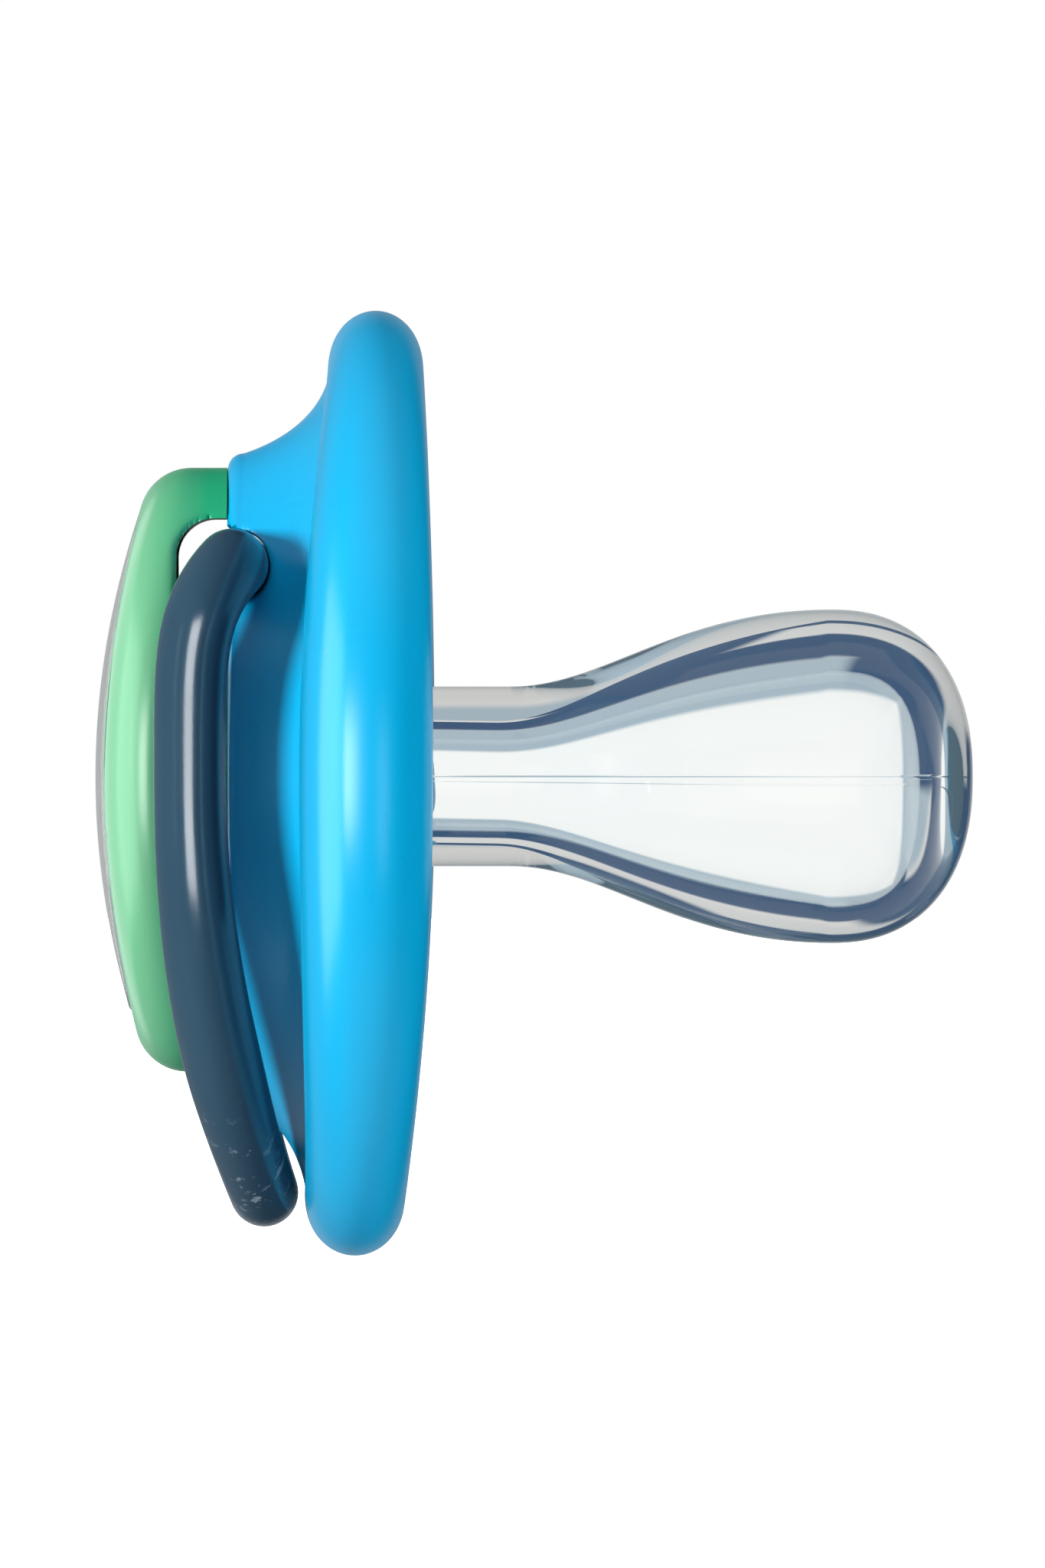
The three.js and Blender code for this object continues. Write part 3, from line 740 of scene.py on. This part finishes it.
class Nodes:
    """A short way to build one material's nodes."""

    def __init__(self, name):
        self.material = bpy.data.materials.new(name)
        self.material.use_nodes = True
        self.tree = self.material.node_tree
        self.shader = self.tree.nodes["Principled BSDF"]
        self.place = self.add("ShaderNodeTexCoord").outputs["Object"]

    def add(self, kind, **settings):
        node = self.tree.nodes.new(kind)
        for key, value in settings.items():
            setattr(node, key, value)
        return node

    def link(self, source, target):
        self.tree.links.new(source, target)

    def set(self, **values):
        for key, value in values.items():
            self.shader.inputs[key.replace("_", " ")].default_value = value

    def noise(self, scale, detail, roughness, stretch=None):
        node = self.add("ShaderNodeTexNoise")
        node.inputs["Scale"].default_value = scale
        node.inputs["Detail"].default_value = detail
        node.inputs["Roughness"].default_value = roughness
        source = self.place
        if stretch:
            mapping = self.add("ShaderNodeMapping")
            mapping.inputs["Scale"].default_value = stretch
            self.link(source, mapping.inputs["Vector"])
            source = mapping.outputs["Vector"]
        self.link(source, node.inputs["Vector"])
        return node.outputs["Fac"]

    def map_range(self, value, low, high, to_low, to_high):
        node = self.add("ShaderNodeMapRange")
        self.link(value, node.inputs["Value"])
        node.inputs["From Min"].default_value = low
        node.inputs["From Max"].default_value = high
        node.inputs["To Min"].default_value = to_low
        node.inputs["To Max"].default_value = to_high
        return node.outputs["Result"]

    def math(self, operation, a, b=0.0):
        node = self.add("ShaderNodeMath", operation=operation)
        for socket, value in zip(node.inputs, (a, b)):
            if isinstance(value, (int, float)):
                socket.default_value = value
            else:
                self.link(value, socket)
        return node.outputs[0]

    def mix(self, factor, a, b):
        node = self.add("ShaderNodeMix", data_type="RGBA")
        self.link(factor, node.inputs["Factor"])
        for socket, value in ((node.inputs["A"], a), (node.inputs["B"], b)):
            if isinstance(value, tuple):
                socket.default_value = value
            else:
                self.link(value, socket)
        return node.outputs["Result"]

    def bump(self, height, strength, distance, normal=None):
        node = self.add("ShaderNodeBump")
        node.inputs["Strength"].default_value = strength
        node.inputs["Distance"].default_value = distance
        self.link(height, node.inputs["Height"])
        if normal:
            self.link(normal, node.inputs["Normal"])
        return node.outputs["Normal"]


def colour(red, green, blue):
    """A linear colour from sRGB values of 0 to 255, or more for a light that is brighter than white."""
    linear = []
    for value in (red, green, blue):
        share = value / 255
        linear.append(share / 12.92 if value <= 10 else ((share + 0.055) / 1.055) ** 2.4)
    return (*linear, 1.0)


def moulded_plastic(name, light, deep, roughness):
    """Moulded polypropylene with a faint flow variation."""
    n = Nodes(name)
    flow = n.noise(55, 4, 0.55)
    n.link(n.mix(n.map_range(flow, 0.3, 0.7, 0.0, 1.0), deep, light), n.shader.inputs["Base Color"])
    return satin(n, roughness)


def satin(n, roughness):
    """Gives moulded plastic its satin surface, slightly worn and very slightly wavy."""
    wear = n.noise(120, 2, 0.5)
    n.link(n.map_range(wear, 0.3, 0.7, roughness - 0.02, roughness + 0.02), n.shader.inputs["Roughness"])
    n.link(n.bump(n.noise(120, 1, 0.4), 0.04, 0.0003), n.shader.inputs["Normal"])
    n.set(IOR=1.49)
    return n.material


def shield_plastic():
    return moulded_plastic("shield_plastic", colour(0, 170, 220), colour(0, 166, 216), 0.28)


def knob_plastic():
    """Mint green, with painted light: paler towards the front as if lit, deeper towards the back as if in
    shade.
    """
    n = Nodes("knob_plastic")
    split = n.add("ShaderNodeSeparateXYZ")
    n.link(n.place, split.inputs["Vector"])
    painted_lit_x = (ORIGIN_X + KNOB_PAINTED_LIT_X) * MM
    painted_shade_x = (ORIGIN_X + KNOB_PAINTED_SHADE_X) * MM
    depth = n.map_range(split.outputs["X"], painted_lit_x, painted_shade_x, 0.0, 1.0)
    # painted light and shade: pale green painted on the front as if lit, deep green on the back as if shaded
    n.link(n.mix(depth, colour(104, 177, 131), colour(16, 172, 114)), n.shader.inputs["Base Color"])
    return satin(n, 0.30)


def plug_plastic():
    return moulded_plastic("plug_plastic", colour(238, 238, 234), colour(230, 231, 226), 0.4)


def ring_plastic():
    """Slate-navy plastic with light scuffs low on its outer side."""
    n = Nodes("ring_plastic")
    flow = n.map_range(n.noise(70, 4, 0.55), 0.3, 0.7, 0.0, 1.0)
    base = n.mix(flow, colour(40, 68, 86), colour(44, 73, 91))
    streaks = n.noise(900, 4, 0.7, (1.0, 1.0, 0.25))
    specks = n.noise(2600, 3, 0.6)
    split = n.add("ShaderNodeSeparateXYZ")
    n.link(n.place, split.inputs["Vector"])
    bottom = RING_BOX[0].z
    low = n.map_range(split.outputs["Z"], bottom + 0.0015, bottom + 0.0065, 1.0, 0.0)
    scuff = n.math("MULTIPLY", n.map_range(streaks, 0.58, 0.66, 0.0, 1.0), low)
    fleck = n.math("MULTIPLY", n.map_range(specks, 0.70, 0.74, 0.0, 1.0), low)
    marks = n.math("MINIMUM", n.math("ADD", scuff, fleck), 1.0)
    shown = n.math("MULTIPLY", marks, 0.5)
    n.link(n.mix(shown, base, colour(176, 190, 198)), n.shader.inputs["Base Color"])
    worn = n.map_range(n.noise(300, 5, 0.6), 0.3, 0.7, 0.16, 0.24)
    n.link(n.math("ADD", worn, n.math("MULTIPLY", marks, 0.2)), n.shader.inputs["Roughness"])
    grain = n.bump(n.noise(7000, 2, 0.6), 0.05, 0.00004)
    n.link(n.bump(marks, 0.35, 0.00006, grain), n.shader.inputs["Normal"])
    n.set(IOR=1.49)
    return n.material


def silicone():
    """Clear silicone rubber, faintly wavy.

    The slight glow isn't the rubber's own. It keeps spots from going black where a light path inside the
    wall runs out of bounces.
    """
    n = Nodes("clear_silicone")
    tint = n.mix(n.noise(90, 3, 0.5), colour(254, 254, 254), colour(251, 252, 252))
    n.link(tint, n.shader.inputs["Base Color"])
    n.link(n.bump(n.noise(160, 1, 0.4), 0.02, 0.0003), n.shader.inputs["Normal"])
    n.link(n.map_range(n.noise(500, 3, 0.5), 0.4, 0.7, 0.0, 0.03), n.shader.inputs["Roughness"])
    glow = n.mix(n.noise(140, 2, 0.5), colour(150, 190, 215), colour(158, 196, 218))
    n.link(glow, n.shader.inputs["Emission Color"])
    n.set(Transmission_Weight=1.0, IOR=1.41, Emission_Strength=0.04)
    return n.material


def window_plastic():
    """The knob's clear cover."""
    n = Nodes("clear_window")
    n.link(
        n.mix(n.noise(120, 3, 0.5), colour(250, 252, 252), colour(243, 247, 247)),
        n.shader.inputs["Base Color"],
    )
    n.link(n.map_range(n.noise(700, 4, 0.6), 0.3, 0.7, 0.03, 0.08), n.shader.inputs["Roughness"])
    n.link(n.bump(n.noise(200, 2, 0.4), 0.05, 0.0004), n.shader.inputs["Normal"])
    n.set(Transmission_Weight=0.8, IOR=1.5)
    return n.material


def printed_film():
    """A generic print: round dots in rings on a pale ground."""
    n = Nodes("printed_film")
    palette = [colour(38, 96, 210), colour(240, 196, 64), colour(232, 110, 96), colour(86, 190, 170)]
    ground = n.mix(n.noise(400, 4, 0.6), colour(238, 243, 232), colour(232, 239, 226))
    result = ground
    centre_z = (ORIGIN_Z + WINDOW_CENTRE_Z) * MM
    dots = [(0.0, 0.0, 1.7)]
    for count, share, radius, start in ((8, 0.5, 1.15, 0.2), (12, 0.86, 0.95, 0.07)):
        for i in range(count):
            angle = 2 * math.pi * i / count + start
            reach = superellipse_reach(angle, WINDOW_HALF_WIDTH, WINDOW_HALF_HEIGHT, KNOB_ROUNDNESS)
            dots.append((reach * share * math.cos(angle), reach * share * math.sin(angle), radius))
    split = n.add("ShaderNodeSeparateXYZ")
    n.link(n.place, split.inputs["Vector"])
    for i, (y, z, radius) in enumerate(dots):
        dy = n.math("SUBTRACT", split.outputs["Y"], y * MM)
        dz = n.math("SUBTRACT", split.outputs["Z"], centre_z + z * MM)
        square = n.math("ADD", n.math("MULTIPLY", dy, dy), n.math("MULTIPLY", dz, dz))
        inside = n.map_range(n.math("SQRT", square), radius * MM, (radius - 0.08) * MM, 0.0, 1.0)
        result = n.mix(inside, result, palette[i % len(palette)])
    n.link(result, n.shader.inputs["Base Color"])
    n.link(n.map_range(n.noise(900, 3, 0.5), 0.3, 0.7, 0.4, 0.5), n.shader.inputs["Roughness"])
    n.link(n.bump(n.noise(5000, 2, 0.5), 0.1, 0.00002), n.shader.inputs["Normal"])
    return n.material


def floor_paper():
    """Matt paper with its own light, so that it shows as white as the backdrop."""
    n = Nodes("floor_paper")
    tone = n.mix(n.noise(6, 2, 0.5), colour(250, 250, 250), colour(247, 248, 248))
    n.link(tone, n.shader.inputs["Base Color"])
    n.link(n.bump(n.noise(900, 3, 0.5), 0.04, 0.0001), n.shader.inputs["Normal"])
    n.link(tone, n.shader.inputs["Emission Color"])
    n.set(Roughness=0.9, Specular_IOR_Level=0.1, Emission_Strength=1.1)
    return n.material


# ---------------------------------------------------------------- studio


def make_floor():
    """A wide pale floor that the shield's rim stands on. It takes no shadow and is mirrored in nothing."""
    bm = bmesh.new()
    bmesh.ops.create_grid(bm, x_segments=24, y_segments=24, size=6.0)
    mesh = bpy.data.meshes.new("floor")
    bm.to_mesh(mesh)
    bm.free()
    floor = bpy.data.objects.new("floor", mesh)
    bpy.context.scene.collection.objects.link(floor)
    mesh.materials.append(floor_paper())
    floor.visible_transmission = False
    floor.visible_glossy = False
    floor.visible_diffuse = False
    floor.visible_shadow = False


class Sky:
    """A short way to build the world's nodes. Angles are given by their sines."""

    def __init__(self, tree):
        self.tree = tree
        tree.nodes.clear()

    def node(self, kind, **settings):
        made = self.tree.nodes.new(kind)
        for key, value in settings.items():
            setattr(made, key, value)
        return made

    def fill(self, socket, value):
        if isinstance(value, (int, float, tuple)):
            socket.default_value = value
        else:
            self.tree.links.new(value, socket)

    def ramp(self, value, low, high):
        made = self.node("ShaderNodeMapRange", interpolation_type="SMOOTHSTEP")
        self.fill(made.inputs["Value"], value)
        made.inputs["From Min"].default_value = low
        made.inputs["From Max"].default_value = high
        return made.outputs["Result"]

    def math(self, operation, *values):
        made = self.node("ShaderNodeMath", operation=operation)
        for socket, value in zip(made.inputs, values):
            self.fill(socket, value)
        return made.outputs[0]

    def blend(self, factor, a, b):
        made = self.node("ShaderNodeMix", data_type="RGBA")
        self.fill(made.inputs["Factor"], factor)
        self.fill(made.inputs["A"], a)
        self.fill(made.inputs["B"], b)
        return made.outputs["Result"]

    def band(self, value, low, high, soft):
        """1 where the value lies between low and high, 0 elsewhere."""
        return self.math("MULTIPLY", self.ramp(value, low - soft, low + soft),
                         self.ramp(value, high + soft, high - soft))


def make_world():
    """A pale studio, with a made-up view for the clear pieces.

    What shows through them isn't one room. It is chosen by how many surfaces the light has passed (Ray
    Depth) and by its direction, so that the teat shows the dark and pale bands that it has in the photo.
    """
    world = bpy.data.worlds.new("studio")
    bpy.context.scene.world = world
    world.use_nodes = True
    sky = Sky(world.node_tree)
    split = sky.node("ShaderNodeSeparateXYZ")
    sky.fill(split.inputs["Vector"], sky.node("ShaderNodeTexCoord").outputs["Generated"])
    x, y, z = split.outputs["X"], split.outputs["Y"], split.outputs["Z"]
    path = sky.node("ShaderNodeLightPath")
    white = colour(255, 255, 255)
    navy = colour(16, 46, 88)
    slate = colour(160, 174, 182)
    beige = colour(212, 209, 204)
    pearl = colour(251, 249, 243)

    # straight through the hollow, which takes four surfaces (a Ray Depth of 5)
    edge = sky.math("MAXIMUM", sky.math("ABSOLUTE", z), sky.math("ABSOLUTE", x))
    through = sky.blend(sky.ramp(edge, 0.33, 0.40), pearl, slate)
    # turned back at the hollow's wall, which takes three (4)
    above = sky.band(z, 0.03, 0.68, 0.04)
    below = sky.band(sky.math("MULTIPLY", z, -1.0), 0.50, 0.84, 0.04)
    beside = sky.band(x, 0.06, 0.60, 0.04)
    dark = sky.math("MAXIMUM", sky.math("MAXIMUM", above, below), beside)
    steep = sky.ramp(edge, 0.60, 0.74)
    turned = sky.blend(dark, sky.blend(steep, beige, slate), navy)
    # through the wall alone, which takes two (3)
    alone = sky.blend(sky.ramp(edge, 0.52, 0.62), slate, beige)

    is_turned = sky.math("COMPARE", path.outputs["Ray Depth"], 4.0, 0.5)
    is_alone = sky.math("COMPARE", path.outputs["Ray Depth"], 3.0, 0.5)
    clear = sky.blend(is_alone, sky.blend(is_turned, through, turned), alone)

    # what lights matt surfaces: more from above and below than from the sides or the knob's end
    ends = sky.ramp(sky.math("ABSOLUTE", z), 0.30, 0.90)
    ends = sky.math("MULTIPLY", ends, sky.ramp(x, -0.75, 0.0))
    ambient = sky.blend(ends, colour(40, 44, 52), colour(290, 293, 298))
    # what glossy surfaces mirror: a dark room, paler beyond the knob and straight behind the object
    mirrored = sky.blend(sky.ramp(x, 0.2, -0.8), colour(20, 28, 38), colour(150, 160, 170))
    mirrored = sky.blend(sky.ramp(y, 0.93, 1.0), mirrored, colour(180, 182, 182))
    shown = sky.blend(path.outputs["Is Glossy Ray"], ambient, mirrored)
    shown = sky.blend(path.outputs["Is Transmission Ray"], shown, clear)
    shown = sky.blend(path.outputs["Is Camera Ray"], shown, white)
    background = sky.node("ShaderNodeBackground")
    sky.fill(background.inputs["Color"], shown)
    output = sky.node("ShaderNodeOutputWorld")
    sky.fill(output.inputs["Surface"], background.outputs["Background"])


def soft_light(name, place, width, height, power, kind):
    """A soft box that faces the object; `kind` is the shading it takes part in, "diffuse" or "glossy"."""
    data = bpy.data.lights.new(name, "AREA")
    data.shape = "RECTANGLE"
    data.size, data.size_y = width, height
    data.energy = power
    light = bpy.data.objects.new(name, data)
    bpy.context.scene.collection.objects.link(light)
    target = (CAD_BOX[0] + CAD_BOX[1]) / 2
    light.location = place
    light.rotation_mode = "QUATERNION"
    light.rotation_quaternion = (target - Vector(place)).to_track_quat("-Z", "Y")
    light.visible_camera = False
    light.visible_transmission = False
    light.visible_diffuse = kind == "diffuse"
    light.visible_glossy = kind == "glossy"
    return light


def keep_off(title, lights, names):
    """Leaves the named pieces out of the light of the given lamps."""
    spared = bpy.data.collections.new(title)
    for name in names:
        spared.objects.link(bpy.data.objects[name])
    for held in spared.collection_objects:
        held.light_linking.link_state = "EXCLUDE"
    for light in lights:
        light.light_linking.receiver_collection = spared


def make_lights():
    """Two lamps light the surfaces, and three soft boxes are only seen mirrored in them."""
    key = soft_light("key", (-0.77, -0.65, 0.12), 0.22, 0.22, 12.5, "diffuse")
    fill = soft_light("fill", (0.78, -0.88, -0.05), 0.30, 0.50, 6.5, "diffuse")
    box = soft_light("softbox", (-1.08, -0.62, 0.05), 1.70, 1.60, 36, "glossy")
    strip = soft_light("strip", (-0.12, -1.3, 0.05), 0.60, 0.48, 12, "glossy")
    wall = soft_light("wall", (-1.05, 0.62, 0.05), 1.70, 1.60, 13, "glossy")
    keep_off("clear", (key, fill, strip), ("teat_silicone",))
    keep_off("clear_or_dark", (box,), ("teat_silicone", "ring_bar"))
    keep_off("not_the_knob", (wall,), ("teat_silicone", "ring_bar", "shield_body"))


def make_camera():
    """A long lens that looks along +Y, level with the teat."""
    data = bpy.data.cameras.new("camera")
    data.sensor_width = 36.0
    data.lens = data.sensor_width * CAMERA_DISTANCE / SHOWN_HEIGHT
    data.clip_start, data.clip_end = 0.05, 30.0
    camera = bpy.data.objects.new("camera", data)
    bpy.context.scene.collection.objects.link(camera)
    camera.location = ((ORIGIN_X + CAMERA_AIM_X) * MM, -CAMERA_DISTANCE, (ORIGIN_Z + CAMERA_AIM_Z) * MM)
    camera.rotation_euler = (math.pi / 2, 0, 0)
    bpy.context.scene.camera = camera


# ---------------------------------------------------------------- the scene

bpy.context.scene.view_settings.view_transform = "Standard"
make_camera()
make_world()
make_floor()
make_shield()
make_teat()
make_plug()
make_knob()
make_print()
make_window()
make_ring()
make_lights()
